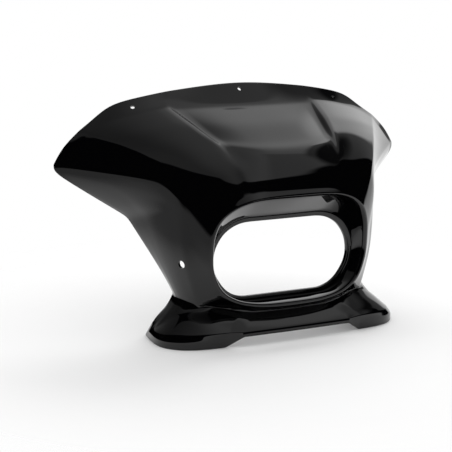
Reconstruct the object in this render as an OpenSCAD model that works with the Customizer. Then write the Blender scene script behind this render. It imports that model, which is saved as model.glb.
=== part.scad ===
// Headlight fairing for a motorcycle: one moulded shell of gloss black plastic.
// The front faces -Y, X runs across the bike and Z = 0 is the lowest edge of the chin.
// The shell is lofted through section lines. Each one starts at the rim of the headlight
// opening and runs outwards to the trimmed edge. The right half is drawn and mirrored.

/* [Overall size] */
// Width across the two wing tips
span = 632; // [480:1:800]
// Height of the top edge on the centre line
height = 388; // [330:1:460]
// Depth from the rolled rim back to the rear edge of the wings
depth = 236; // [200:1:280]
// Wall thickness of the moulding
wall = 4; // [2.5:0.1:6]
// Longest facet along the wide surfaces
facet = 34; // [20:1:60]

/* [Headlight opening] */
// Width of the opening behind the tunnel
opening_w = 240; // [200:1:260]
// Height of the opening behind the tunnel
opening_h = 118; // [90:1:134]
// Height of the centre of the opening
opening_z = 125; // [118:1:134]
// Depth of the opening behind the foremost bottom corner
opening_y = 42; // [30:1:60]
// Length of the straight collar round the opening
collar = 8; // [4:0.5:16]
// Width of the flat step round the collar
step_w = 7; // [3:0.5:12]

/* [Rim] */
// Width over the rim of the headlight surround
rim_w = 279; // [270:1:300]
// Height over the rim of the headlight surround
rim_h = 180; // [170:1:192]
// Height of the centre of the rim
rim_z = 144; // [138:1:150]
// Width of the rolled rim
rim_roll = 7; // [5:0.5:14]
// How far the roll stands in front of the skin
rim_proud = 3; // [2:0.5:6]
// How squarely the rim is rounded, 2 is an ellipse
rim_square = 3; // [2.2:0.1:4]
// How far the ends of the rim sweep back
rim_sweep = 17; // [5:1:30]
// How far the top of the rim leans forward
rim_lean = 15; // [0:1:25]

/* [Hood] */
// Depth of the recess in the middle of the hood
recess = 7; // [2:0.5:10]
// Width of the slope at the side of the recess
recess_slope = 7; // [3:0.5:12]
// Half width of the recess at its back edge
recess_half_back = 132; // [110:1:150]
// Half width of the recess at its front edge
recess_half_front = 104; // [80:1:118]
// Blend at the foot of the windscreen flange
flange_blend = 6; // [3:1:12]
// How hollow the windscreen flange is towards its ends
flange_hollow = 1.5; // [0:0.5:5]
// Blend along the wing ridges
ridge_blend = 4; // [3:1:10]

/* [Chin] */
// Width over the corners of the chin
chin_w = 402; // [370:1:440]
// Height of the chin lip at its corners
lip_h = 26; // [18:1:34]
// Width of the raised middle of the lower edge
notch_w = 188; // [120:1:210]
// Height of the raised middle of the lower edge
notch_h = 16.5; // [6:0.5:20]
// Blend along the waist and the lip
chin_blend = 5; // [2:0.5:9]

/* [Mounting holes] */
// Diameter of the windscreen screw holes
screen_hole_d = 7; // [4:0.1:9]
// Spacing of the two outer windscreen holes
screen_hole_spacing = 372; // [320:1:392]
// Distance of the middle windscreen hole from the edge of the flange
screen_hole_inset = 12.5; // [9:0.5:18]
// Distance of the outer windscreen holes from the edge of the flange
outer_hole_inset = 17; // [12:0.5:20]
// Diameter of the side mounting holes
side_hole_d = 12.5; // [6:0.1:14]
// Height of the side mounting holes
side_hole_z = 125; // [105:1:145]

/* [Hidden] */

wing = span / 2;
rim_half = rim_w / 2;
rim_top = rim_z + rim_h / 2;
rim_foot = rim_z - rim_h / 2;
chin = chin_w / 2;
notch = notch_w / 2;

// Small vector helpers
function lerp(p, q, t) = p + (q - p) * t;
function unit(v) = v / max(norm(v), 1e-6);
function clamp(v, low, high) = min(high, max(low, v));

// The rim is a rounded rectangle, given by its radius at an angle from the top
function rim_radius(angle) =
    pow(pow(abs(sin(angle)) / rim_half, rim_square)
        + pow(abs(cos(angle)) / (rim_h / 2), rim_square), -1 / rim_square);
function rim_y(x, z) =
    rim_sweep * pow(x / rim_half, 2) - rim_lean * pow(clamp((z - rim_foot) / rim_h, 0, 1), 2) - 1;
function rim_point(angle, grow, back) =
    let (r = rim_radius(angle), x = r * sin(angle), z = rim_z + r * cos(angle))
    [(r + grow) * sin(angle), rim_y(x, z) + back, rim_z + (r + grow) * cos(angle)];

// The opening is a slot with round ends, given by its radius at an angle from the top
function slot_radius(angle, grow) =
    let (
        end = (opening_w - opening_h) / 2,
        r = opening_h / 2 + grow,
        s = abs(sin(angle)),
        c = max(abs(cos(angle)), 1e-6)
    )
    r / c * s <= end ? r / c : end * s + sqrt(r * r - end * end * c * c);
function slot_point(angle, grow, y) =
    let (r = slot_radius(angle, grow))
    [r * sin(angle), y, opening_z + r * cos(angle)];

// The skin drops by the recess in the middle of the hood: square to itself there, and
// forwards and down at the back edge of the recess
hood_drop = [0, 0.37, -0.93];
back_edge_drop = [0, -0.5, -1];
function sunk(p, share) = p + recess * share * hood_drop;
function sunk_back(p) = p + recess * back_edge_drop;

// Section lines of the right half, clockwise from the top as seen from the front:
// rim angle, blend to the line before, blend to the line after, then the points
// near the rim, on the shoulder, three across the face, and on the trimmed edge
wide = 1000;
sections = [
    // Centre line
    [0, wide, wide, [0, -8, rim_top + 22], [0, 2, rim_top + 42], sunk([0, 17, height - 89], 0.2),
        sunk([0, 88, height - 57], 1), sunk_back([0, 172, height - 31]), [0, 195, height]],
    // Middle of the recess
    [20, wide, wide, [42, -6, rim_top + 21], [44, 5, rim_top + 43], sunk([47, 21, height - 88], 0.2),
        sunk([56, 90, height - 56], 1), sunk_back([64, 174, height - 31]), [62, 198, height - 4]],
    // Floor of the recess at its side
    [38, 8, wide, [82, 3, rim_top + 21], [87, 17, rim_top + 42],
        sunk([recess_half_front - recess_slope, 55, height - 82], 0.25),
        sunk([(recess_half_front + recess_half_back) / 2 - recess_slope, 118, height - 56], 1),
        sunk_back([recess_half_back - recess_slope, 180, height - 32]), [122, 204, height - 11]],
    // Brow beside the recess
    [42, wide, 8, [90, 6, rim_top + 20], [96, 21, rim_top + 42],
        [recess_half_front, 55, height - 82],
        [(recess_half_front + recess_half_back) / 2, 118, height - 56],
        [recess_half_back, 182, height - 34], [136, 204, height - 13]],
    // Brow
    [51, wide, wide, [110, 12, rim_top + 18], [122, 27, rim_top + 37], [131, 62, height - 86],
        [147, 120, height - 60], [165, 185, height - 38], [172, 207, height - 19]],
    [57, wide, wide, [128, 20, rim_top + 15], [144, 36, rim_top + 36], [156, 71, height - 89],
        [176, 127, height - 65], [200, 191, height - 46], [217, 216, height - 29]],
    [63, wide, wide, [145, 28, rim_top + 12], [165, 50, rim_top + 36], [181, 85, height - 93],
        [205, 137, height - 72], [234, 200, height - 56], [242, 217, height - 48]],
    // Upper ridge of the wing
    [68, ridge_blend, ridge_blend, [157, 33, rim_top + 8], [183, 65, rim_top + 34],
        [207, 103, height - 97], [235, 150, height - 83], [wing - 53, 197, height - 73],
        [wing - 43, 213, height - 69]],
    // Side facet
    [74, wide, wide, [165, 37, rim_top - 1], [189, 72, rim_top + 25],
        [218, 110, rim_top + 39], [251, 155, rim_top + 50], [wing - 31, 200, rim_top + 58],
        [wing - 16, 213, rim_top + 61]],
    // Lower ridge of the wing
    [80, ridge_blend, ridge_blend, [169, 40, rim_top - 11], [193, 78, rim_top + 15],
        [228, 118, rim_top + 22], [266, 160, rim_top + 28], [wing - 11, 202, rim_top + 33],
        [wing, 213, rim_top + 34]],
    // Under the wing tip
    [84, wide, wide, [171, 42, rim_top - 22], [191, 80, rim_top], [225, 120, rim_top + 6],
        [265, 162, rim_top + 12], [wing - 12, 202, rim_top + 20], [wing - 1, 212, rim_top + 21]],
    [88, wide, wide, [171, 43, rim_top - 31], [188, 79, rim_top - 13], [209, 109, rim_top - 10],
        [233, 137, rim_top - 5], [wing - 40, 187, rim_top - 3], [wing - 33, 195, rim_top - 2]],
    // Lower corner of the wing
    [94, 14, 14, [171, 44, rim_top - 44], [185, 76, rim_top - 32], [197, 104, rim_top - 36],
        [203, 134, rim_top - 41], [208, 160, rim_top - 48], [210, 172, rim_top - 51]],
    // Cheek
    [102, wide, wide, [170, 44, 158], [182, 71, 156], [189, 96, 154], [193, 120, 152],
        [195, 138, 149], [195, 145, 148]],
    [112, wide, wide, [165, 42, 114], [174, 66, 111], [177, 84, 108], [177, 100, 105],
        [175, 111, 102], [174, 115, 101]],
    // Waist
    [120, chin_blend, chin_blend, [147, 41, 63], [158, 55, 66], [164, 70, 68], [165, 84, 68],
        [162, 99, 68], [160, 106, 68]],
    // Rear edge of the chin
    [124, wide, wide, [144, 39, 61], [156, 51, 61], [165, 65, 59], [170, 80, 56],
        [171, 98, 52], [170, 108, 48]],
    [127, wide, wide, [140, 37, 60], [155, 48, 56], [172, 61, 50], [183, 80, 42],
        [189, 102, 33], [188, 114, 30]],
    // Rear corner of the chin
    [130, chin_blend, chin_blend, [135, 36, 58], [152, 44, 51], [178, 57, 42], [chin - 2, 88, 22],
        [chin, 112, 8], [chin, 124, 0]],
    // Side of the chin
    [134, wide, wide, [129, 34, 57], [149, 37, 47], [178, 45, 38], [chin + 4, 71, 21],
        [chin + 9, 73, 10], [chin + 9, 75, 0]],
    [138, wide, wide, [120, 32, 54], [142, 27, 43], [172, 29, 35], [chin - 1, 40, lip_h - 1],
        [chin + 7, 37, lip_h / 2], [chin + 9, 38, 0]],
    // Front corner of the chin
    [143, wide, wide, [106, 23, 52], [126, 13, 40], [152, 6, 31], [chin - 27, 5, lip_h],
        [chin - 24, 2, lip_h / 2], [chin - 23, 5, 0]],
    // Outer end of the raised middle
    [148, 3, 3, [85, 18, 50], [98, 6, 40], [109, -2, 32], [notch + 24, -8, lip_h - 1],
        [notch + 25, -4, lip_h / 2], [notch + 26, 0, 0]],
    // Inner end of the raised middle
    [154, 3, 3, [70, 16, 48], [77, 4, 39], [85, -5, 31.5], [notch - 2, -12, lip_h - 1],
        [notch - 1, -13, (lip_h + notch_h) / 2], [notch, -12, notch_h]],
    // Centre line of the chin
    [180, wide, wide, [0, 11, 45], [0, 3, 38], [0, -6, 31.5], [0, -14, lip_h - 1],
        [0, -15, (lip_h + notch_h) / 2], [0, -14, notch_h]]
];
last = len(sections) - 1;

// The section lines are drawn at this depth, and their points move when another depth is set
drawn_depth = 236;
depth_share = depth / drawn_depth;
set_sections = [
    for (s = sections)
        [for (k = [0 : len(s) - 1]) k < 3 ? s[k] : [s[k].x, s[k].y * depth_share, s[k].z]]
];

// A blended section is followed on each side by a helper line close to it
function between(s, n, gap) = [
    for (k = [0 : len(s) - 1])
        k == 0 ? lerp(s[0], n[0], 1 / 3)
            : k < 3 ? wide
            : lerp(s[k], n[k], min(1 / 3, gap / max(norm(n[k] - s[k]), 1)))
];
half_lines = [
    for (i = [0 : last])
        each [
            if (sections[i][1] < wide) between(set_sections[i], set_sections[i - 1], sections[i][1]),
            set_sections[i],
            if (sections[i][2] < wide) between(set_sections[i], set_sections[i + 1], sections[i][2])
        ]
];
half_count = len(half_lines) - 1;

// Rim angles where the recess ends, the flange is fully hollow, the flange and the wing end,
// and the waist and the lip of the chin start
recess_end = 40;
hollow_full = 50;
flange_end = 66;
wing_end = 87;
waist_start = 123;
lip_start = 134;

// Roundings at the edge of the opening
slot_rounding = 2;
collar_rounding = 1.5;

// How far the inside of the roll lies behind the line of the rim
roll_back = 2;

// Shares of the way from the step to the roll between which the tunnel is straight
tunnel_start = 0.15;
tunnel_end = 0.7;

// Share of the way forwards from the middle of the hood where the floor of the recess ends
floor_end = 0.7;

// Direction in which the flange is hollowed, backwards and down
hollow_lean = [0, 0.45, -0.9];

// Points of the skin along one section line, from the collar to the trimmed edge
function near_blend(angle) = angle > waist_start ? chin_blend : wide;
function lip_blend(angle) = angle > lip_start ? chin_blend - 1 : wide;
function crease_blend(angle) =
    angle < flange_end ? flange_blend : angle < wing_end ? ridge_blend : wide;
function beside(p, q, gap) = lerp(p, q, min(1 / 3, gap / max(norm(q - p), 1)));
function flange_middle(foot, edge, angle) =
    lerp(foot, edge, 1 / 2) + flange_hollow * min(angle / hollow_full, 1) * hollow_lean;
function skin_line(s) =
    let (
        angle = s[0],
        foot = rim_point(angle, rim_roll / 2 - 0.5, rim_roll / 2),
        step = slot_point(angle, step_w, opening_y),
        inside = rim_point(angle, -rim_roll, roll_back),
        near = s[3],
        near_gap = near_blend(angle),
        lip_gap = lip_blend(angle),
        crease_gap = crease_blend(angle)
    ) [
        slot_point(angle, 0, opening_y + collar),
        slot_point(angle, 0, opening_y + collar_rounding),
        slot_point(angle, 0, opening_y),
        slot_point(angle, slot_rounding, opening_y),
        step,
        lerp(step, inside, tunnel_start),
        lerp(step, inside, tunnel_end),
        inside,
        rim_point(angle, -rim_roll / 2, 1 - rim_proud),
        rim_point(angle, 0, 0),
        foot,
        beside(near, foot, near_gap),
        near,
        beside(near, s[4], near_gap),
        s[4],
        s[5],
        angle < recess_end ? sunk(lerp(s[6], s[5], floor_end), 0.5) : beside(s[6], s[5], lip_gap),
        s[6],
        beside(s[6], s[7], lip_gap),
        beside(s[7], s[6], crease_gap),
        s[7],
        angle < flange_end ? flange_middle(s[7], s[8], angle) : beside(s[7], s[8], crease_gap),
        s[8]
    ];
right_lines = [for (s = half_lines) skin_line(s)];
function mirrored(line) = [for (p = line) [-p.x, p.y, p.z]];
skin_net = concat(right_lines, [for (i = [half_count - 1 : -1 : 1]) mirrored(right_lines[i])]);
line_count = len(skin_net);
row_count = len(skin_net[0]);

// The back of the wall lies one wall thickness behind the control points of the skin
back_rows = [0, 2, 4, 8, 12, 14, 15, 16, 17, 20, 21, 22];
function net_normal(i, j) =
    let (
        ahead = skin_net[(i + 1) % line_count][j],
        behind = skin_net[(i + line_count - 1) % line_count][j],
        outer = skin_net[i][min(j + 1, row_count - 1)],
        inner = skin_net[i][max(j - 1, 0)]
    )
    unit(cross(ahead - behind, outer - inner));
function back_point(i, j) =
    let (
        n = net_normal(i, j),
        p = skin_net[i][j],
        on_floor = j == row_count - 1 && p.z < notch_h + 1,
        flat = on_floor ? unit([n.x, n.y, 0]) : n
    )
    p - flat * wall;
back_net = [for (i = [0 : line_count - 1]) [for (j = back_rows) back_point(i, j)]];

// Smooth curves through a net of control points
function spline(a, b, c, d, t) =
    (pow(1 - t, 3) * a + (3 * pow(t, 3) - 6 * t * t + 4) * b
        + (1 + 3 * t + 3 * t * t - 3 * pow(t, 3)) * c + pow(t, 3) * d) / 6;
function open_curve(line, steps) =
    let (m = len(line), ends = concat([2 * line[0] - line[1]], line, [2 * line[m - 1] - line[m - 2]]))
    [
        for (j = [0 : m - 2]) for (k = [0 : steps[j] - 1])
            spline(ends[j], ends[j + 1], ends[j + 2], ends[j + 3], k / steps[j]),
        line[m - 1]
    ];
function closed_curve(ring, steps) =
    let (n = len(ring))
    [
        for (i = [0 : n - 1]) for (k = [0 : steps[i] - 1])
            spline(ring[(i + n - 1) % n], ring[i], ring[(i + 1) % n], ring[(i + 2) % n], k / steps[i])
    ];
function span_steps(lengths) = max(1, ceil(max(lengths) / facet));
line_steps = [
    for (i = [0 : line_count - 1])
        span_steps([for (j = [12 : row_count - 1]) norm(skin_net[(i + 1) % line_count][j] - skin_net[i][j])])
];
function row_steps(net) = [
    for (j = [0 : len(net[0]) - 2])
        span_steps([for (i = [0 : line_count - 1]) norm(net[i][j + 1] - net[i][j])])
];
function smooth(net) =
    let (steps = row_steps(net), lines = [for (line = net) open_curve(line, steps)])
    [
        for (j = [0 : len(lines[0]) - 1])
            closed_curve([for (i = [0 : line_count - 1]) lines[i][j]], line_steps)
    ];
front_rings = smooth(skin_net);
back_rings = smooth(back_net);

// The part is moved so that the middle of its depth lies on the origin
depths = [for (ring = front_rings) for (p = ring) p.y];
depth_shift = round((min(depths) + max(depths)) / 2);

// One closed solid from the front rings and the back rings
module shell() {
    n = len(front_rings[0]);
    fronts = len(front_rings);
    backs = len(back_rings);
    rings = concat(front_rings, [for (j = [backs - 1 : -1 : 0]) back_rings[j]]);
    total = fronts + backs;
    points = [for (ring = rings) for (p = ring) [p.x, p.y - depth_shift, p.z]];
    faces = [
        for (j = [0 : total - 1]) for (i = [0 : n - 1])
            let (a = j * n, b = ((j + 1) % total) * n, k = (i + 1) % n)
            each [[a + i, b + i, b + k], [a + i, b + k, a + k]]
    ];
    polyhedron(points = points, faces = faces, convexity = 8);
}

// The windscreen holes lie in the flange, at a distance from its edge
right_end = round(len(front_rings[0]) / 2);
edge_ring = front_rings[len(front_rings) - 1];
inner_ring = front_rings[len(front_rings) - 2];
function edge_index(x) = [for (i = [0 : right_end]) if (edge_ring[i].x <= x && edge_ring[i + 1].x > x) i][0];
function edge_run(i) = edge_ring[i + 1] - edge_ring[i > 0 ? i - 1 : len(edge_ring) - 1];
function flange_spot(x, inset) =
    let (
        i = edge_index(x),
        share = (x - edge_ring[i].x) / (edge_ring[i + 1].x - edge_ring[i].x),
        outer = lerp(edge_ring[i], edge_ring[i + 1], share),
        inner = lerp(inner_ring[i], inner_ring[i + 1], share)
    ) [
        outer + unit(inner - outer) * inset,
        unit(cross(lerp(edge_run(i), edge_run(i + 1), share), outer - inner))
    ];
function screen_hole(x, inset) = flange_spot(max(0, 2 * x - flange_spot(x, inset)[0].x), inset);

// The side holes lie in the cheeks, at the point of the skin nearest to a chosen place
side_target = [170, 52 * depth_share, side_hole_z];
skin_points = [for (ring = front_rings) for (i = [0 : right_end]) ring[i]];
nearest = min([for (p = skin_points) norm(p - side_target)]);
side_index = [for (k = [0 : len(skin_points) - 1]) if (norm(skin_points[k] - side_target) == nearest) k][0];
side_ring = floor(side_index / (right_end + 1));
side_step = side_index % (right_end + 1);
side_normal = unit(cross(
    front_rings[side_ring][side_step + 1] - front_rings[side_ring][side_step - 1],
    front_rings[side_ring + 1][side_step] - front_rings[side_ring - 1][side_step]
));
side_spot = side_target - side_normal * ((side_target - skin_points[side_index]) * side_normal);

// A hole runs through the wall at a point of the skin, square to it
module hole(place, outward, diameter) {
    turn = [0, acos(outward.z), atan2(outward.y, outward.x)];
    translate([place.x, place.y - depth_shift, place.z])
    rotate(turn)
    cylinder(h = 6 * wall, d = diameter, center = true, $fn = 32);
}

module fairing_shell() {
    centre_hole = screen_hole(0, screen_hole_inset);
    outer_hole = screen_hole(screen_hole_spacing / 2, outer_hole_inset);
    color([0.03, 0.03, 0.035])
    difference() {
        shell();
        hole(centre_hole[0], centre_hole[1], screen_hole_d);
        for (side = [0, 1])
            mirror([side, 0, 0]) {
                hole(outer_hole[0], outer_hole[1], screen_hole_d);
                hole(side_spot, side_normal, side_hole_d);
            }
    }
}

fairing_shell();
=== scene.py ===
"""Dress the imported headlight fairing: the gloss moulded shell, its studio and its camera.

The shell is the same loft as the part's own. Section lines run from the rim of the headlight
opening out to the trimmed edge, and smooth curves join them. Here it is drawn much finer, with
rounded trim edges and with its holes cut by a node tree. Lengths are in millimetres up to the
last step, which turns them into metres.
"""

import logging
import math
from dataclasses import dataclass
from enum import Enum
from typing import Sequence

import bpy
import numpy as np
from mathutils import Matrix, Vector

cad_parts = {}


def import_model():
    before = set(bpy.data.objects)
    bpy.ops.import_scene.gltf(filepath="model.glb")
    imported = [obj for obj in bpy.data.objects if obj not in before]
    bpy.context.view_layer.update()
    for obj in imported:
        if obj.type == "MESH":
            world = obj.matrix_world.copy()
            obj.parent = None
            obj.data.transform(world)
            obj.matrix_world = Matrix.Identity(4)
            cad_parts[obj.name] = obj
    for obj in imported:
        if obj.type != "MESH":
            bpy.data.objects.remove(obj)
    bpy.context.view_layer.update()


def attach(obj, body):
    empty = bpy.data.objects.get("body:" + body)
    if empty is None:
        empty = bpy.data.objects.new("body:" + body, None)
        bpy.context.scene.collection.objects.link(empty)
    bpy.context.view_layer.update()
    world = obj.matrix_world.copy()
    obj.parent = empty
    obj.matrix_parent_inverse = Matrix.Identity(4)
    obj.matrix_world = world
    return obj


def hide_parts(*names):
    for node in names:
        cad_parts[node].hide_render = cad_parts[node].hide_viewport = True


Point = tuple[float, float, float]
Colour = tuple[float, float, float, float]
Fade = tuple[float, float]
Socket = bpy.types.NodeSocket

LOG = logging.getLogger("fairing")

# Metres in a millimetre.
MM = 0.001
# From where the section lines are drawn to the part's frame.
FRAME_SHIFT = np.array([0.0, -100.0, 0.0])
# The least length that anything is divided by.
TINY = 1e-6
# The gap of a helper point that no crease holds close: it lies a third of the way.
FREE = 1000.0
# The row of control points beside the rim, among the 23 rows of skin_line.
NEAR_ROW = 12
# The rows that the back follows. It passes over the roundings and the helper points.
BACK_ROWS = [0, 2, 4, 8, 12, 14, 15, 16, 17, 20, 21, 22]


class Skin(Enum):
    """The two sides of the moulding, by their material slot."""

    FRONT = 0
    BACK = 1


@dataclass
class Nodes:
    """Short ways to fill a node tree."""

    tree: bpy.types.NodeTree

    def add(self, kind: str, inputs: dict[str, object] | None = None,
            **settings: object) -> bpy.types.Node:
        """Add a node.

        Args:
            kind: The node's type name.
            inputs: Values of the node's inputs, by name.
            settings: Properties of the node, by name.

        Returns:
            The new node.
        """
        made = self.tree.nodes.new(kind)
        for name, value in settings.items():
            setattr(made, name, value)
        for name, value in (inputs or {}).items():
            made.inputs[name].default_value = value
        return made

    def link(self, given: Socket, entry: Socket) -> None:
        """Join an output to an input."""
        self.tree.links.new(given, entry)

    def maths(self, operation: str, *values: Socket | float) -> Socket:
        """Add one step of arithmetic.

        Args:
            operation: The operation's name.
            values: Sockets or numbers, in the order of the node's inputs.

        Returns:
            The socket with the result.
        """
        made = self.add("ShaderNodeMath", operation=operation)
        for given, entry in zip(values, made.inputs):
            if isinstance(given, (int, float)):
                entry.default_value = given
            else:
                self.link(given, entry)
        return made.outputs["Value"]

    def step(self, given: Socket, fade: Fade) -> Socket:
        """Rise smoothly from 0 to 1, or fall from 1 to 0 where the fade runs downwards.

        Args:
            given: The socket to read.
            fade: The two values between which the step lies. It is 0 at the first.

        Returns:
            The socket with the result.
        """
        falls = fade[1] < fade[0]
        made = self.add("ShaderNodeMapRange", {
            "From Min": min(fade), "From Max": max(fade),
            "To Min": 1.0 if falls else 0.0, "To Max": 0.0 if falls else 1.0,
        }, interpolation_type="SMOOTHSTEP")
        self.link(given, made.inputs["Value"])
        return made.outputs["Result"]


@dataclass(frozen=True)
class GlossBlack:
    """High gloss black moulded plastic, as on the front of the shell."""

    name: str = "gloss_black_plastic"
    colour: Colour = (0.0008, 0.0008, 0.001, 1.0)
    roughness: float = 0.035
    ior: float = 1.5
    ripple_scale: float = 9.0
    ripple_detail: float = 1.0
    ripple_height: float = 0.00008
    ripple_strength: float = 1.0

    def material(self) -> bpy.types.Material:
        """Build a mirror-like black with a very faint moulding ripple.

        Returns:
            The material.
        """
        made = bpy.data.materials.new(self.name)
        made.use_nodes = True
        nodes = Nodes(made.node_tree)
        shader = made.node_tree.nodes["Principled BSDF"]
        shader.inputs["Base Color"].default_value = self.colour
        shader.inputs["Roughness"].default_value = self.roughness
        shader.inputs["IOR"].default_value = self.ior
        place = nodes.add("ShaderNodeTexCoord")
        ripple = nodes.add("ShaderNodeTexNoise",
                           {"Scale": self.ripple_scale, "Detail": self.ripple_detail})
        bump = nodes.add("ShaderNodeBump",
                         {"Strength": self.ripple_strength, "Distance": self.ripple_height})
        nodes.link(place.outputs["Object"], ripple.inputs["Vector"])
        nodes.link(ripple.outputs["Fac"], bump.inputs["Height"])
        nodes.link(bump.outputs["Normal"], shader.inputs["Normal"])
        return made


@dataclass(frozen=True)
class MouldedBack:
    """The plain back of the moulding, a satin black with a fine grain."""

    name: str = "satin_black_back"
    colour: Colour = (0.012, 0.012, 0.013, 1.0)
    roughness: float = 0.38
    grain_scale: float = 900.0
    grain_height: float = 0.00003
    grain_strength: float = 0.5

    def material(self) -> bpy.types.Material:
        """Build a satin plastic with a leathery moulding grain.

        Returns:
            The material.
        """
        made = bpy.data.materials.new(self.name)
        made.use_nodes = True
        nodes = Nodes(made.node_tree)
        shader = made.node_tree.nodes["Principled BSDF"]
        shader.inputs["Base Color"].default_value = self.colour
        shader.inputs["Roughness"].default_value = self.roughness
        place = nodes.add("ShaderNodeTexCoord")
        grain = nodes.add("ShaderNodeTexVoronoi", {"Scale": self.grain_scale})
        bump = nodes.add("ShaderNodeBump",
                         {"Strength": self.grain_strength, "Distance": self.grain_height})
        nodes.link(place.outputs["Object"], grain.inputs["Vector"])
        nodes.link(grain.outputs["Distance"], bump.inputs["Height"])
        nodes.link(bump.outputs["Normal"], shader.inputs["Normal"])
        return made


@dataclass(frozen=True)
class ScrewHole:
    """A round hole square to the skin."""

    place: Point
    axis: Point
    diameter: float

    def mirrored(self) -> "ScrewHole":
        """Return the same hole on the other side of the middle plane."""
        place, axis = ((-p[0], p[1], p[2]) for p in (self.place, self.axis))
        return ScrewHole(place, axis, self.diameter)


@dataclass(frozen=True)
class HoleCutter:
    """A node tree that cuts round holes through a shell, one at each given point."""

    length: float = 30.0
    sides: int = 48
    wall_mark: str = "hole_wall"

    def points(self, holes: Sequence[ScrewHole]) -> bpy.types.Object:
        """Put one vertex at each hole.

        Args:
            holes: Where the holes go.

        Returns:
            A mesh object that holds each hole's axis and radius as attributes.
        """
        mesh = bpy.data.meshes.new("hole_points")
        places = [tuple((np.array(hole.place) + FRAME_SHIFT) * MM) for hole in holes]
        mesh.from_pydata(places, [], [])
        mesh.attributes.new("axis", "FLOAT_VECTOR", "POINT")
        mesh.attributes.new("radius", "FLOAT", "POINT")
        axes = [value for hole in holes for value in hole.axis]
        mesh.attributes["axis"].data.foreach_set("vector", axes)
        radii = [hole.diameter / 2 * MM for hole in holes]
        mesh.attributes["radius"].data.foreach_set("value", radii)
        made = bpy.data.objects.new("hole_points", mesh)
        bpy.context.scene.collection.objects.link(made)
        return made

    def tree(self) -> bpy.types.NodeTree:
        """Build the tree: an instance of one drill on each point, all taken off the shell.

        The drills are made real before the cut, which is quick and clean on one plain mesh.
        Their faces carry a mark, by which the walls of the holes get their finish at the end.

        Returns:
            The node tree.
        """
        tree = bpy.data.node_groups.new("cut_round_holes", "GeometryNodeTree")
        for name, kind in (("Shell", "Geometry"), ("Hole points", "Object"),
                           ("Drill length", "Float"), ("Drill sides", "Int"),
                           ("Finish of the cut", "Material")):
            tree.interface.new_socket(name, in_out="INPUT", socket_type="NodeSocket" + kind)
        tree.interface.new_socket("Drilled shell", in_out="OUTPUT",
                                  socket_type="NodeSocketGeometry")
        nodes = Nodes(tree)
        start = nodes.add("NodeGroupInput")
        end = nodes.add("NodeGroupOutput")
        points = nodes.add("GeometryNodeObjectInfo", transform_space="RELATIVE")
        axis = nodes.add("GeometryNodeInputNamedAttribute", {"Name": "axis"},
                         data_type="FLOAT_VECTOR")
        radius = nodes.add("GeometryNodeInputNamedAttribute", {"Name": "radius"},
                           data_type="FLOAT")
        turn = nodes.add("FunctionNodeAlignRotationToVector", axis="Z")
        size = nodes.add("ShaderNodeCombineXYZ", {"Z": 1.0})
        drill = nodes.add("GeometryNodeMeshCylinder", {"Radius": 1.0}, fill_type="NGON")
        marked = nodes.add("GeometryNodeStoreNamedAttribute",
                           {"Name": self.wall_mark, "Value": True},
                           data_type="BOOLEAN", domain="FACE")
        drills = nodes.add("GeometryNodeInstanceOnPoints")
        real = nodes.add("GeometryNodeRealizeInstances")
        cut = nodes.add("GeometryNodeMeshBoolean", operation="DIFFERENCE", solver="EXACT")
        wall = nodes.add("GeometryNodeInputNamedAttribute", {"Name": self.wall_mark},
                         data_type="BOOLEAN")
        finish = nodes.add("GeometryNodeSetMaterial")

        nodes.link(start.outputs["Drill length"], drill.inputs["Depth"])
        nodes.link(start.outputs["Drill sides"], drill.inputs["Vertices"])
        nodes.link(drill.outputs["Mesh"], marked.inputs["Geometry"])

        nodes.link(start.outputs["Hole points"], points.inputs["Object"])
        nodes.link(points.outputs["Geometry"], drills.inputs["Points"])
        nodes.link(marked.outputs["Geometry"], drills.inputs["Instance"])
        nodes.link(axis.outputs["Attribute"], turn.inputs["Vector"])
        nodes.link(turn.outputs["Rotation"], drills.inputs["Rotation"])
        nodes.link(radius.outputs["Attribute"], size.inputs["X"])
        nodes.link(radius.outputs["Attribute"], size.inputs["Y"])
        nodes.link(size.outputs["Vector"], drills.inputs["Scale"])

        nodes.link(drills.outputs["Instances"], real.inputs["Geometry"])
        nodes.link(start.outputs["Shell"], cut.inputs["Mesh 1"])
        nodes.link(real.outputs["Geometry"], cut.inputs["Mesh 2"])
        nodes.link(cut.outputs["Mesh"], finish.inputs["Geometry"])
        nodes.link(wall.outputs["Attribute"], finish.inputs["Selection"])
        nodes.link(start.outputs["Finish of the cut"], finish.inputs["Material"])
        nodes.link(finish.outputs["Geometry"], end.inputs["Drilled shell"])
        return tree

    def cut(self, shell: bpy.types.Object, holes: Sequence[ScrewHole],
            finish: bpy.types.Material) -> bpy.types.Mesh:
        """Cut the holes and leave the shell's object without a modifier.

        Args:
            shell: The object to drill.
            holes: Where the holes go.
            finish: The material of the holes' walls.

        Returns:
            The drilled shell as a plain mesh.
        """
        tree = self.tree()
        points = self.points(holes)
        values = {"Hole points": points, "Drill length": self.length * MM,
                  "Drill sides": self.sides, "Finish of the cut": finish}
        modifier = shell.modifiers.new("holes", "NODES")
        modifier.node_group = tree
        for item in tree.interface.items_tree:
            if item.in_out == "INPUT" and item.name in values:
                modifier[item.identifier] = values[item.name]
        bpy.context.view_layer.update()
        ready = shell.evaluated_get(bpy.context.evaluated_depsgraph_get())
        made = bpy.data.meshes.new_from_object(ready)
        shell.modifiers.clear()
        bpy.data.objects.remove(points)
        return made


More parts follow.
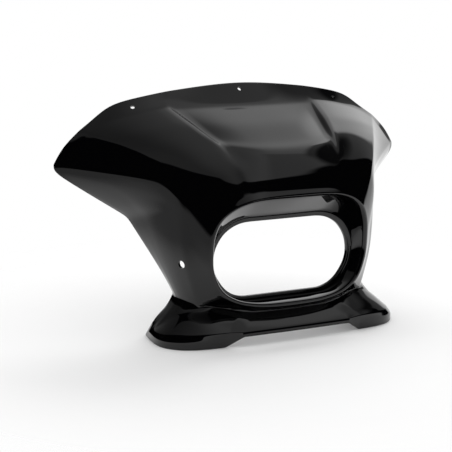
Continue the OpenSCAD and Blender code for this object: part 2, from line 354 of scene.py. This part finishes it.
@dataclass(frozen=True)
class HeadlightOpening:
    """The slot-shaped opening, its collar and the step round it."""

    width: float = 240.0
    height: float = 118.0
    centre_z: float = 125.0
    depth: float = 42.0
    collar: float = 8.0
    step: float = 7.0
    rounding: float = 2.0
    collar_rounding: float = 1.5

    def radius(self, angle: float, grow: float) -> float:
        """Measure from the centre to the slot's outline.

        Args:
            angle: Direction from the top, clockwise, in degrees.
            grow: How far the outline is grown.

        Returns:
            The distance in millimetres.
        """
        end = (self.width - self.height) / 2
        round_end = self.height / 2 + grow
        s = abs(math.sin(math.radians(angle)))
        c = max(abs(math.cos(math.radians(angle))), TINY)
        if round_end / c * s <= end:
            return round_end / c
        return end * s + math.sqrt(round_end ** 2 - (end * c) ** 2)

    def point(self, angle: float, grow: float, back: float) -> np.ndarray:
        """Place a point beside the slot's outline.

        Args:
            angle: Direction from the top, clockwise, in degrees.
            grow: Distance outside the outline.
            back: Distance behind the step.

        Returns:
            The point in millimetres.
        """
        r = self.radius(angle, grow)
        turn = math.radians(angle)
        return np.array([r * math.sin(turn), self.depth + back, self.centre_z + r * math.cos(turn)])


@dataclass(frozen=True)
class Rim:
    """The rolled rim round the headlight surround."""

    width: float = 279.0
    height: float = 180.0
    centre_z: float = 144.0
    front: float = -1.0
    roll: float = 7.0
    roll_back: float = 2.0
    proud: float = 3.0
    squareness: float = 3.0
    sweep: float = 17.0
    lean: float = 15.0

    @property
    def top(self) -> float:
        """Return the height of the rim's top."""
        return self.centre_z + self.height / 2

    def point(self, angle: float, grow: float, back: float) -> np.ndarray:
        """Place a point beside the rim's outer line.

        Args:
            angle: Direction from the top, clockwise, in degrees.
            grow: Distance outside the line.
            back: Distance behind the line.

        Returns:
            The point in millimetres.
        """
        s, c = math.sin(math.radians(angle)), math.cos(math.radians(angle))
        n = self.squareness
        r = (abs(s / (self.width / 2)) ** n + abs(c / (self.height / 2)) ** n) ** (-1 / n)
        x, z = r * s, self.centre_z + r * c
        rise = min(max((z - self.centre_z + self.height / 2) / self.height, 0.0), 1.0)
        y = self.sweep * (x / (self.width / 2)) ** 2 - self.lean * rise ** 2 + self.front
        return np.array([(r + grow) * s, y + back, self.centre_z + (r + grow) * c])


@dataclass(frozen=True)
class Section:
    """One section line of the shell, from the rim out to the trimmed edge.

    Its points are measured across from the middle plane, back and up. Before and after say how
    near a helper line lies on either side, where the skin has a ridge or a crease.
    """

    angle: float
    near: Point
    shoulder: Point
    first: Point
    second: Point
    third: Point
    edge: Point
    before: float = FREE
    after: float = FREE

    def points(self) -> np.ndarray:
        """Return the section's own points, from near the rim to the trimmed edge."""
        return np.array([self.near, self.shoulder, self.first, self.second, self.third, self.edge])


@dataclass
class FairingShell:
    """The moulded shell: hood, wings, cheeks, headlight surround and chin.

    The fields that end in start, end or full are angles round the opening, in degrees from the
    top, at which one stretch of the shell passes into the next. The leans and drops are
    directions, back and up. The shares say how far along a stretch a point lies.
    """

    span: float = 632.0
    height: float = 388.0
    wall: float = 4.0
    recess: float = 7.0
    recess_slope: float = 7.0
    recess_half_back: float = 132.0
    recess_half_front: float = 104.0
    recess_end: float = 40.0
    floor_share: float = 0.7
    hood_drop: tuple[float, float] = (0.37, -0.93)
    back_edge_drop: tuple[float, float] = (-0.5, -0.85)
    flange_blend: float = 6.0
    flange_hollow: float = 1.5
    hollow_lean: tuple[float, float] = (0.45, -0.9)
    hollow_full: float = 50.0
    flange_end: float = 66.0
    ridge_blend: float = 4.0
    wing_end: float = 87.0
    chin_width: float = 402.0
    chin_blend: float = 5.0
    waist_start: float = 123.0
    lip_height: float = 26.0
    lip_start: float = 134.0
    notch_width: float = 188.0
    notch_height: float = 16.5
    tunnel_shares: tuple[float, float] = (0.15, 0.7)
    screen_hole: float = 7.0
    mounting_hole: float = 12.5
    edge_radius: float = 1.8
    edge_rings: int = 6
    sharp_angle: float = 38.0
    spacing: float = 5.5
    back_spacing: float = 13.75
    least_cuts: int = 2
    opening: HeadlightOpening = HeadlightOpening()
    rim: Rim = Rim()
    cutter: HoleCutter = HoleCutter()
    gloss: GlossBlack = GlossBlack()
    satin: MouldedBack = MouldedBack()

    def sunk(self, p: Point, share: float) -> Point:
        """Lower a point of the hood into the recess by a share of its depth."""
        drop = self.recess * share
        return (p[0], p[1] + self.hood_drop[0] * drop, p[2] + self.hood_drop[1] * drop)

    def sunk_back(self, p: Point) -> Point:
        """Lower a point at the foot of the flange to the recess floor."""
        back, up = self.back_edge_drop
        return (p[0], p[1] + back * self.recess, p[2] + up * self.recess)

    def sections(self) -> list[Section]:
        """List the section lines of the right half, clockwise as seen from the front.

        Returns:
            The lines from the top to the bottom, with their points listed one by one.
        """
        top, h, wing = self.rim.top, self.height, self.span / 2
        chin, notch = self.chin_width / 2, self.notch_width / 2
        lip, low = self.lip_height, self.notch_height
        back, front, slope = self.recess_half_back, self.recess_half_front, self.recess_slope
        middle = (back + front) / 2
        ridge, blend = self.ridge_blend, self.chin_blend
        return [
            Section(0, (0, -8, top + 22), (0, 2, top + 42), self.sunk((0, 17, h - 89), 0.2),
                    self.sunk((0, 88, h - 57), 1), self.sunk_back((0, 172, h - 31)), (0, 195, h)),
            Section(20, (42, -6, top + 21), (44, 5, top + 43), self.sunk((47, 21, h - 88), 0.2),
                    self.sunk((56, 90, h - 56), 1), self.sunk_back((64, 174, h - 31)),
                    (62, 198, h - 4)),
            Section(38, (82, 3, top + 21), (87, 17, top + 42),
                    self.sunk((front - slope, 55, h - 82), 0.25),
                    self.sunk((middle - slope, 118, h - 56), 1),
                    self.sunk_back((back - slope, 180, h - 32)), (122, 204, h - 11), before=8),
            Section(42, (90, 6, top + 20), (96, 21, top + 42), (front, 55, h - 82),
                    (middle, 118, h - 56), (back, 182, h - 34), (136, 204, h - 13), after=8),
            Section(51, (110, 12, top + 18), (122, 27, top + 37), (131, 62, h - 86),
                    (147, 120, h - 60), (165, 185, h - 38), (172, 207, h - 19)),
            Section(57, (128, 20, top + 15), (144, 36, top + 36), (156, 71, h - 89),
                    (176, 127, h - 65), (200, 191, h - 46), (217, 216, h - 29)),
            Section(63, (145, 28, top + 12), (165, 50, top + 36), (181, 85, h - 93),
                    (205, 137, h - 72), (234, 200, h - 56), (242, 217, h - 48)),
            Section(68, (157, 33, top + 8), (183, 65, top + 34), (207, 103, h - 97),
                    (235, 150, h - 83), (wing - 53, 197, h - 73), (wing - 43, 213, h - 69),
                    before=ridge, after=ridge),
            Section(74, (165, 37, top - 1), (189, 72, top + 25), (218, 110, top + 39),
                    (251, 155, top + 50), (wing - 31, 200, top + 58), (wing - 16, 213, top + 61)),
            Section(80, (169, 40, top - 11), (193, 78, top + 15), (228, 118, top + 22),
                    (266, 160, top + 28), (wing - 11, 202, top + 33), (wing, 213, top + 34),
                    before=ridge, after=ridge),
            Section(84, (171, 42, top - 22), (191, 80, top), (225, 120, top + 6),
                    (265, 162, top + 12), (wing - 12, 202, top + 20), (wing - 1, 212, top + 21)),
            Section(88, (171, 43, top - 31), (188, 79, top - 13), (209, 109, top - 10),
                    (233, 137, top - 5), (wing - 40, 187, top - 3), (wing - 33, 195, top - 2)),
            Section(94, (171, 44, top - 44), (185, 76, top - 32), (197, 104, top - 36),
                    (203, 134, top - 41), (208, 160, top - 48), (210, 172, top - 51),
                    before=14, after=14),
            Section(102, (170, 44, 158), (182, 71, 156), (189, 96, 154), (193, 120, 152),
                    (195, 138, 149), (195, 145, 148)),
            Section(112, (165, 42, 114), (174, 66, 111), (177, 84, 108), (177, 100, 105),
                    (175, 111, 102), (174, 115, 101)),
            Section(120, (147, 41, 63), (158, 55, 66), (164, 70, 68), (165, 84, 68),
                    (162, 99, 68), (160, 106, 68), before=blend, after=blend),
            Section(124, (144, 39, 61), (156, 51, 61), (165, 65, 59), (170, 80, 56),
                    (171, 98, 52), (170, 108, 48)),
            Section(127, (140, 37, 60), (155, 48, 56), (172, 61, 50), (183, 80, 42),
                    (189, 102, 33), (188, 114, 30)),
            Section(130, (135, 36, 60), (152, 44, 54), (178, 57, 45), (chin - 2, 88, 21),
                    (chin, 112, 8), (chin, 124, 0), before=blend, after=blend),
            Section(134, (129, 34, 59), (149, 37, 51), (178, 45, 42), (chin + 4, 71, 19),
                    (chin + 9, 73, 10), (chin + 9, 75, 0)),
            Section(138, (120, 32, 56), (142, 27, 48), (172, 29, 39), (chin - 1, 40, lip - 3),
                    (chin + 7, 37, lip / 2), (chin + 9, 38, 0)),
            Section(143, (106, 23, 54), (126, 13, 44), (152, 6, 34), (chin - 27, 5, lip - 2),
                    (chin - 24, 2, lip / 2), (chin - 23, 5, 0)),
            Section(148, (85, 18, 51), (98, 6, 42), (109, -2, 34), (notch + 24, -8, lip - 1),
                    (notch + 25, -4, lip / 2), (notch + 26, 0, 0), before=3, after=3),
            Section(154, (70, 16, 48), (77, 4, 39), (85, -5, 31.5), (notch - 2, -12, lip - 1),
                    (notch - 1, -13, (lip + low) / 2), (notch, -12, low), before=3, after=3),
            Section(180, (0, 11, 45), (0, 3, 38), (0, -6, 31.5), (0, -14, lip - 1),
                    (0, -15, (lip + low) / 2), (0, -14, low)),
        ]

    def holes(self) -> list[ScrewHole]:
        """Place the windscreen holes in the flange and the mounting holes in the cheeks.

        Returns:
            The holes of both sides.
        """
        middle = ScrewHole((0, 188.7, 376.5), (0, -0.81, 0.586), self.screen_hole)
        outer = ScrewHole((185.5, 199.1, 353.8), (0.284, -0.712, 0.642), self.screen_hole)
        cheek = ScrewHole((169.7, 52.2, 125), (0.898, -0.424, -0.119), self.mounting_hole)
        return [middle, outer.mirrored(), cheek.mirrored(), outer, cheek]

    @staticmethod
    def beside(p: np.ndarray, q: np.ndarray, gap: float) -> np.ndarray:
        """Place helper points a little way from some points towards others.

        Args:
            p: A point, or one point to a row.
            q: The point or points towards which the helper points lie.
            gap: Distance from p. It never passes a third of the way to q.

        Returns:
            The helper point or points.
        """
        reach = np.maximum(np.linalg.norm(q - p, axis=-1, keepdims=True), 1.0)
        return p + (q - p) * np.minimum(1 / 3, gap / reach)

    def half_lines(self) -> list[tuple[float, np.ndarray]]:
        """Gather the lines of the right half, with a helper line close to each ridge or crease.

        Returns:
            The angle and the points of each line, from the top to the bottom.
        """
        made: list[tuple[float, np.ndarray]] = []
        given = self.sections()
        for i, section in enumerate(given):
            if section.before < FREE:
                made.append(self.helper_line(section, given[i - 1], section.before))
            made.append((section.angle, section.points()))
            if section.after < FREE:
                made.append(self.helper_line(section, given[i + 1], section.after))
        return made

    def helper_line(self, section: Section, other: Section,
                    gap: float) -> tuple[float, np.ndarray]:
        """Work out a line at a set distance from a section.

        Args:
            section: The section on the ridge or crease.
            other: The neighbour towards which the line lies.
            gap: Distance from the section.

        Returns:
            The line's angle and points.
        """
        angle = section.angle + (other.angle - section.angle) / 3
        return angle, self.beside(section.points(), other.points(), gap)

    def crease_gap(self, angle: float) -> float:
        """Choose how near helper points keep to the foot of the flange or of the wing's edge.

        Args:
            angle: Direction from the top, clockwise, in degrees.

        Returns:
            The distance in millimetres.
        """
        if angle < self.flange_end:
            return self.flange_blend
        return self.ridge_blend if angle < self.wing_end else FREE

    def flange_middle(self, angle: float, foot: np.ndarray, edge: np.ndarray) -> np.ndarray:
        """Place the point half-way up the flange, which is a little hollow.

        Args:
            angle: The line's angle. The hollow grows with it from the middle outwards.
            foot: The foot of the flange.
            edge: Its trimmed edge.

        Returns:
            The point in millimetres.
        """
        depth = self.flange_hollow * min(angle / self.hollow_full, 1.0)
        return foot + (edge - foot) / 2 + depth * np.array([0, *self.hollow_lean])

    def skin_line(self, angle: float, own: np.ndarray) -> np.ndarray:
        """Put together the control points along one line.

        Args:
            angle: Direction from the top, clockwise, in degrees.
            own: The line's own points, from near the rim to the trimmed edge.

        Returns:
            The 23 points from the collar's back to the trimmed edge.
        """
        near, shoulder, first, second, third, edge = own
        near_gap = self.chin_blend if angle > self.waist_start else FREE
        lip_gap = self.chin_blend - 1 if angle > self.lip_start else FREE
        crease_gap = self.crease_gap(angle)
        opening, rim = self.opening, self.rim
        step = opening.point(angle, opening.step, 0)
        inside = rim.point(angle, -rim.roll, rim.roll_back)
        foot = rim.point(angle, rim.roll / 2 - 0.5, rim.roll / 2)
        tunnel = [step + (inside - step) * share for share in self.tunnel_shares]
        if angle < self.recess_end:
            # The floor of the recess runs out here, at half its depth.
            floor_end = second + (first - second) * self.floor_share
            floor_end = np.array(self.sunk(tuple(floor_end), 0.5))
        else:
            floor_end = self.beside(second, first, lip_gap)
        if angle < self.flange_end:
            last_middle = self.flange_middle(angle, third, edge)
        else:
            last_middle = self.beside(third, edge, crease_gap)
        return np.array([
            opening.point(angle, 0, opening.collar),
            opening.point(angle, 0, opening.collar_rounding),
            opening.point(angle, 0, 0),
            opening.point(angle, opening.rounding, 0),
            step,
            *tunnel,
            inside,
            rim.point(angle, -rim.roll / 2, 1 - rim.proud),
            rim.point(angle, 0, 0),
            foot,
            self.beside(near, foot, near_gap),
            near,
            self.beside(near, shoulder, near_gap),
            shoulder,
            first,
            floor_end,
            second,
            self.beside(second, third, lip_gap),
            self.beside(third, second, crease_gap),
            third,
            last_middle,
            edge,
        ])

    def front_net(self) -> np.ndarray:
        """Lay out the control points of the front, closed round the opening.

        Returns:
            The points, one row to a line. The left half mirrors the right.
        """
        right = [self.skin_line(angle, own) for angle, own in self.half_lines()]
        left = [line * np.array([-1, 1, 1]) for line in right[-2:0:-1]]
        return np.array(right + left)

    def back_net(self, net: np.ndarray) -> np.ndarray:
        """Lay out the control points of the back, one wall thickness behind the front.

        Under the chin, the trimmed edge is set back level.

        Args:
            net: Control points of the front.

        Returns:
            The points, one row to a line, for the rows that the back follows.
        """
        across = np.roll(net, -1, axis=0) - np.roll(net, 1, axis=0)
        ends = np.concatenate([net[:, :1], net, net[:, -1:]], axis=1)
        along = ends[:, 2:] - ends[:, :-2]
        normal = np.cross(across, along)
        low_edge = net[:, -1, 2] <= self.notch_height
        normal[low_edge, -1, 2] = 0
        normal /= np.linalg.norm(normal, axis=2, keepdims=True)
        return (net - normal * self.wall)[:, BACK_ROWS]

    @staticmethod
    def spline(points: np.ndarray, cuts: Sequence[int], closed: bool) -> np.ndarray:
        """Run smooth curves along the first axis of a net.

        Args:
            points: Control points, with the curves along the first axis.
            cuts: How many pieces each span is cut into.
            closed: Whether the curves close on themselves.

        Returns:
            Points of the curves, along the first axis.
        """
        if closed:
            ends = np.concatenate([points[-1:], points, points[:2]])
        else:
            ends = np.concatenate([2 * points[:1] - points[1:2], points,
                                   2 * points[-1:] - points[-2:-1]])
        made = []
        for i, count in enumerate(cuts):
            a, b, c, d = ends[i], ends[i + 1], ends[i + 2], ends[i + 3]
            for k in range(count):
                t = k / count
                made.append(((1 - t) ** 3 * a + (3 * t ** 3 - 6 * t * t + 4) * b
                             + (1 + 3 * t + 3 * t * t - 3 * t ** 3) * c + t ** 3 * d) / 6)
        if not closed:
            made.append(points[-1])
        return np.array(made)

    def cuts(self, lengths: np.ndarray, spacing: float) -> list[int]:
        """Count the pieces into which spans of the given lengths are cut."""
        return [max(self.least_cuts, math.ceil(length / spacing)) for length in lengths]

    def smooth(self, net: np.ndarray, line_cuts: Sequence[int], spacing: float) -> np.ndarray:
        """Smooth a net along its lines, then round the opening.

        Args:
            net: Control points, one row to a line.
            line_cuts: How many pieces the spans between the lines are cut into.
            spacing: Wanted distance between rings, in millimetres.

        Returns:
            Rings of points from the collar outwards.
        """
        rows = np.linalg.norm(np.diff(net, axis=1), axis=2).max(axis=0)
        along = self.spline(net.transpose(1, 0, 2), self.cuts(rows, spacing), False)
        return self.spline(along.transpose(1, 0, 2), line_cuts, True).transpose(1, 0, 2)

    def rounded_edge(self, front: np.ndarray, inside: np.ndarray,
                     back: np.ndarray) -> list[np.ndarray]:
        """Round a trimmed edge over from the front to the back, within its outline.

        Args:
            front: The last ring of the front, which the rounded edge replaces.
            inside: The ring of the front before it.
            back: The last ring of the back, which the rounded edge replaces.

        Returns:
            Rings from the front to the back.
        """
        outward = front - inside
        outward = outward / np.maximum(np.linalg.norm(outward, axis=1, keepdims=True), TINY)
        middle, half = (front + back) / 2, (front - back) / 2
        made = []
        for k in range(self.edge_rings + 1):
            turn = math.pi * k / self.edge_rings
            reach = self.edge_radius * (math.sin(turn) - 1)
            made.append(middle + half * math.cos(turn) + outward * reach)
        return made

    def rings(self) -> tuple[list[np.ndarray], list[Skin]]:
        """Work out the rings that close the shell: front, trimmed edge, back and collar.

        Returns:
            The rings, and for each the side of the moulding to which the band after it belongs.
        """
        net = self.front_net()
        gaps = np.linalg.norm(np.roll(net, -1, axis=0) - net, axis=2)[:, NEAR_ROW:].max(axis=1)
        line_cuts = self.cuts(gaps, self.spacing)
        front = self.smooth(net, line_cuts, self.spacing)
        back = self.smooth(self.back_net(net), line_cuts, self.back_spacing)
        trim = self.rounded_edge(front[-1], front[-2], back[-1])
        collar = self.rounded_edge(front[0], front[1], back[0])[::-1]
        seen, hidden = [*front[1:-1], *trim], list(back[-2:0:-1])
        sides = ([Skin.FRONT] * len(seen) + [Skin.BACK] * (len(hidden) - 1)
                 + [Skin.FRONT] * (len(collar) + 1))
        return seen + hidden + collar, sides

    def mesh(self) -> bpy.types.Mesh:
        """Build the closed mesh of the shell without its holes.

        Returns:
            A mesh with the back in its second material slot.
        """
        rings, sides = self.rings()
        around = len(rings[0])
        verts = (np.concatenate(rings) + FRAME_SHIFT) * MM
        faces, slots = [], []
        for j, side in enumerate(sides):
            low, high = j * around, (j + 1) % len(rings) * around
            for i in range(around):
                k = (i + 1) % around
                faces.append((low + i, low + k, high + k, high + i))
                slots.append(side.value)
        made = bpy.data.meshes.new("moulded_shell")
        made.from_pydata(verts.tolist(), [], faces)
        made.polygons.foreach_set("material_index", slots)
        made.polygons.foreach_set("use_smooth", [True] * len(faces))
        made.update()
        return made

    def dress(self) -> bpy.types.Object:
        """Build the shell, give it its two finishes and drill it.

        Returns:
            The finished object.
        """
        gloss = self.gloss.material()
        satin = self.satin.material()
        made = bpy.data.objects.new("moulded_shell", self.mesh())
        made.data.materials.append(gloss)
        made.data.materials.append(satin)
        bpy.context.scene.collection.objects.link(made)
        drilled = self.cutter.cut(made, self.holes(), gloss)
        made.data = drilled
        drilled.polygons.foreach_set("use_smooth", [True] * len(drilled.polygons))
        drilled.set_sharp_from_angle(angle=math.radians(self.sharp_angle))
        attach(made, "root")
        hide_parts("fairing_shell")
        return made


@dataclass(frozen=True)
class Camera:
    """The camera that took the photo, fitted from points that mirror each other."""

    focal_px: float = 1350.0
    width_px: float = 452.0
    sensor_mm: float = 36.0
    farthest: float = 50.0
    place: Point = (-1011.6, -1781.1, 575.2)
    right: Point = (0.8941, -0.4479, 0.0)
    down: Point = (-0.0850, -0.1697, -0.9818)
    forward: Point = (0.4397, 0.8778, -0.1898)

    def build(self) -> bpy.types.Object:
        """Add the camera and make it the scene's own.

        Returns:
            The camera's object.
        """
        lens = bpy.data.cameras.new("camera")
        lens.sensor_width = self.sensor_mm
        lens.lens = self.sensor_mm * self.focal_px / self.width_px
        lens.clip_end = self.farthest
        made = bpy.data.objects.new("camera", lens)
        turn = Matrix((self.right, tuple(-v for v in self.down), tuple(-v for v in self.forward)))
        place = (np.array(self.place) + FRAME_SHIFT) * MM
        made.matrix_world = Matrix.Translation(Vector(place)) @ turn.transposed().to_4x4()
        bpy.context.scene.collection.objects.link(made)
        bpy.context.scene.camera = made
        return made


@dataclass(frozen=True)
class SoftBox:
    """A rectangular studio lamp, in metres, that the gloss doesn't mirror."""

    name: str
    place: Point
    target: Point
    width: float
    height: float
    power: float

    def build(self) -> bpy.types.Object:
        """Add the lamp, turned to face its target.

        Returns:
            The lamp's object.
        """
        lamp = bpy.data.lights.new(self.name, "AREA")
        lamp.shape = "RECTANGLE"
        lamp.size = self.width
        lamp.size_y = self.height
        lamp.energy = self.power
        made = bpy.data.objects.new(self.name, lamp)
        away = Vector(self.target) - Vector(self.place)
        made.location = self.place
        made.rotation_euler = away.to_track_quat("-Z", "Y").to_euler()
        made.visible_glossy = False
        bpy.context.scene.collection.objects.link(made)
        return made


@dataclass(frozen=True)
class Patch:
    """A part of the room, by direction, between soft edges along X, Y or Z."""

    x: Fade | None = None
    y: Fade | None = None
    z: Fade | None = None

    def share(self, nodes: Nodes, direction: Sequence[Socket]) -> Socket:
        """Work out whether a direction falls within the patch.

        Args:
            nodes: The tree that gets the nodes.
            direction: The direction's X, Y and Z.

        Returns:
            The socket that is 1 inside, 0 outside and between them at the edges.
        """
        made, *others = [nodes.step(given, fade)
                         for given, fade in zip(direction, (self.x, self.y, self.z)) if fade]
        for edge in others:
            made = nodes.maths("MULTIPLY", made, edge)
        return made


@dataclass(frozen=True)
class Backdrop:
    """What the gloss mirrors of the room, by direction: 1 is white, as to the camera, 0 is black.

    X is to the right, Y away from the camera and Z up. Low down the room is white on the right
    and grey on the left. Above stands a dark band, tall on the camera's side and taller on the
    left, and lower behind. Above that is a ceiling, paler on the right, with dimmer patches, and
    with a bright window behind on the right.
    """

    dark_height: float = 0.56
    dark_blur: float = 0.03
    fall_behind: float = 0.5
    fall_right: float = 0.8
    fall_patch: Patch = Patch(x=(0.3, 0.6))
    rise_left: float = 0.45
    rise_start: float = -0.1
    ceiling_left: float = 0.3
    ceiling_gain: float = 0.55
    ceiling_right: Patch = Patch(x=(-0.3, 0.3))
    back_dim: float = 0.6
    back_patch: Patch = Patch(x=(0.4, 0.2), y=(-0.3, 0.6))
    front_dim: float = 0.35
    front_patch: Patch = Patch(x=(0.1, 0.3), y=(-0.1, -0.2))
    right_dim: float = 0.72
    right_patch: Patch = Patch(x=(0.55, 0.65), y=(-0.35, -0.1))
    high_right_dim: float = 0.25
    high_right_patch: Patch = Patch(x=(0.68, 0.76), z=(0.52, 0.58))
    window_gain: float = 0.4
    window_patch: Patch = Patch(x=(0.55, 0.65), y=(0.43, 0.49))
    low_right_patch: Patch = Patch(x=(0.05, 0.15), z=(0.03, -0.02))
    low_left: float = 0.45
    low_left_patch: Patch = Patch(z=(-0.13, -0.21))

    def brightness(self, nodes: Nodes) -> Socket:
        """Add the nodes that work out the brightness.

        Args:
            nodes: The world's tree.

        Returns:
            The socket with the brightness.
        """
        place = nodes.add("ShaderNodeTexCoord")
        parts = nodes.add("ShaderNodeSeparateXYZ")
        nodes.link(place.outputs["Generated"], parts.inputs["Vector"])
        direction = [parts.outputs[axis] for axis in "XYZ"]
        maths = nodes.maths
        window = self.window_patch.share(nodes, direction)
        ceiling = maths("MULTIPLY_ADD", self.ceiling_right.share(nodes, direction),
                        self.ceiling_gain, self.ceiling_left)
        for dim in (
            maths("MULTIPLY", self.back_patch.share(nodes, direction), self.back_dim),
            maths("MULTIPLY", self.front_patch.share(nodes, direction), self.front_dim),
            self.right_side_dim(nodes, direction, window),
        ):
            ceiling = maths("MULTIPLY", ceiling, maths("SUBTRACT", 1.0, dim))
        ceiling = maths("MULTIPLY_ADD", window, self.window_gain, ceiling)
        low_left = maths("MULTIPLY", self.low_left_patch.share(nodes, direction), self.low_left)
        low = maths("MAXIMUM", self.low_right_patch.share(nodes, direction), low_left)
        return maths("MAXIMUM", maths("MULTIPLY", ceiling, self.above(nodes, direction)), low)

    def above(self, nodes: Nodes, direction: Sequence[Socket]) -> Socket:
        """Work out whether a direction passes above the dark band.

        Args:
            nodes: The world's tree.
            direction: The direction's X, Y and Z.

        Returns:
            The socket that is 1 above the band and 0 in it.
        """
        maths = nodes.maths
        x, y, z = direction
        behind = maths("MAXIMUM", y, 0.0)
        fall = maths("MULTIPLY_ADD", self.fall_patch.share(nodes, direction), self.fall_right,
                     self.fall_behind)
        rise = maths("MAXIMUM", maths("SUBTRACT", self.rise_start, x), 0.0)
        height = maths("MULTIPLY_ADD", behind, fall, z)
        height = maths("MULTIPLY_ADD", rise, -self.rise_left, height)
        return nodes.step(height, (self.dark_height - self.dark_blur,
                                   self.dark_height + self.dark_blur))

    def right_side_dim(self, nodes: Nodes, direction: Sequence[Socket], window: Socket) -> Socket:
        """Work out how much the ceiling is dimmed round the window, more so high up.

        Args:
            nodes: The world's tree.
            direction: The direction's X, Y and Z.
            window: The share of the window.

        Returns:
            The socket with the dimming.
        """
        flag = nodes.maths("SUBTRACT", self.right_patch.share(nodes, direction), window)
        dim = nodes.maths("MULTIPLY_ADD", self.high_right_patch.share(nodes, direction),
                          self.high_right_dim, self.right_dim)
        return nodes.maths("MULTIPLY", flag, dim)


@dataclass
class Studio:
    """A pale floor, a soft lamp behind on the right, plain light all round and the backdrop."""

    floor_radius: float = 0.8
    floor_rings: int = 24
    floor_sides: int = 96
    floor_colour: Colour = (0.97, 0.97, 0.97, 1.0)
    floor_fade: Fade = (0.45, 0.95)
    plain_light: float = 0.9
    plain_colour: Colour = (1.0, 1.0, 1.0, 1.0)
    backdrop: Backdrop = Backdrop()
    lamp: SoftBox = SoftBox("back_right", place=(1.75, 1.35, 1.75), target=(0.0, 0.0, 0.2),
                            width=2.0, height=1.6, power=26.0)

    def floor(self) -> bpy.types.Object:
        """Lay a round floor, of rings round a middle point.

        Returns:
            The floor's object.
        """
        around = self.floor_sides
        verts = [(0.0, 0.0, 0.0)]
        for ring in range(1, self.floor_rings + 1):
            r = self.floor_radius * ring / self.floor_rings
            for k in range(around):
                turn = 2 * math.pi * k / around
                verts.append((r * math.cos(turn), r * math.sin(turn), 0.0))
        faces = [(0, 1 + k, 1 + (k + 1) % around) for k in range(around)]
        for ring in range(self.floor_rings - 1):
            low, high = 1 + ring * around, 1 + (ring + 1) * around
            for k in range(around):
                n = (k + 1) % around
                faces.append((low + k, high + k, high + n, low + n))
        mesh = bpy.data.meshes.new("floor")
        mesh.from_pydata(verts, [], faces)
        made = bpy.data.objects.new("floor", mesh)
        made.data.materials.append(self.floor_material())
        bpy.context.scene.collection.objects.link(made)
        return made

    def floor_material(self) -> bpy.types.Material:
        """Build a pale matt finish that fades into the backdrop away from the object.

        Returns:
            The material.
        """
        made = bpy.data.materials.new("pale_floor")
        made.use_nodes = True
        made.node_tree.nodes.clear()
        nodes = Nodes(made.node_tree)
        place = nodes.add("ShaderNodeTexCoord")
        length = nodes.add("ShaderNodeVectorMath", operation="LENGTH")
        matt = nodes.add("ShaderNodeBsdfDiffuse", {"Color": self.floor_colour})
        clear = nodes.add("ShaderNodeBsdfTransparent")
        mix = nodes.add("ShaderNodeMixShader")
        out = nodes.add("ShaderNodeOutputMaterial")
        fade = tuple(share * self.floor_radius for share in self.floor_fade)
        nodes.link(place.outputs["Object"], length.inputs[0])
        nodes.link(nodes.step(length.outputs["Value"], fade), mix.inputs["Fac"])
        nodes.link(matt.outputs["BSDF"], mix.inputs[1])
        nodes.link(clear.outputs["BSDF"], mix.inputs[2])
        nodes.link(mix.outputs["Shader"], out.inputs["Surface"])
        return made

    def world(self) -> None:
        """Give the object plain light, the camera white and mirror-like rays the room."""
        world = bpy.data.worlds.new("studio")
        bpy.context.scene.world = world
        world.use_nodes = True
        world.node_tree.nodes.clear()
        nodes = Nodes(world.node_tree)
        path = nodes.add("ShaderNodeLightPath")
        camera, mirror, through = (path.outputs[name] for name in (
            "Is Camera Ray", "Is Glossy Ray", "Is Transmission Ray"))
        room = nodes.add("ShaderNodeBackground")
        nodes.link(nodes.maths("MAXIMUM", self.backdrop.brightness(nodes), camera),
                   room.inputs["Color"])
        plain = nodes.add("ShaderNodeBackground",
                          {"Color": self.plain_colour, "Strength": self.plain_light})
        seen = nodes.maths("MAXIMUM", camera, nodes.maths("MAXIMUM", mirror, through))
        mix = nodes.add("ShaderNodeMixShader")
        out = nodes.add("ShaderNodeOutputWorld")
        nodes.link(seen, mix.inputs["Fac"])
        nodes.link(plain.outputs["Background"], mix.inputs[1])
        nodes.link(room.outputs["Background"], mix.inputs[2])
        nodes.link(mix.outputs["Shader"], out.inputs["Surface"])

    def build(self) -> None:
        """Add the floor, the world and the lamp."""
        self.floor()
        self.world()
        self.lamp.build()


def main() -> None:
    """Build the dressed fairing and its studio."""
    logging.basicConfig(level=logging.INFO, format="%(name)s %(message)s")
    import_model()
    bpy.context.scene.view_settings.view_transform = "Standard"
    Camera().build()
    shell = FairingShell().dress()
    LOG.info("moulded_shell: %d faces", len(shell.data.polygons))
    Studio().build()


if __name__ == "__main__":
    main()
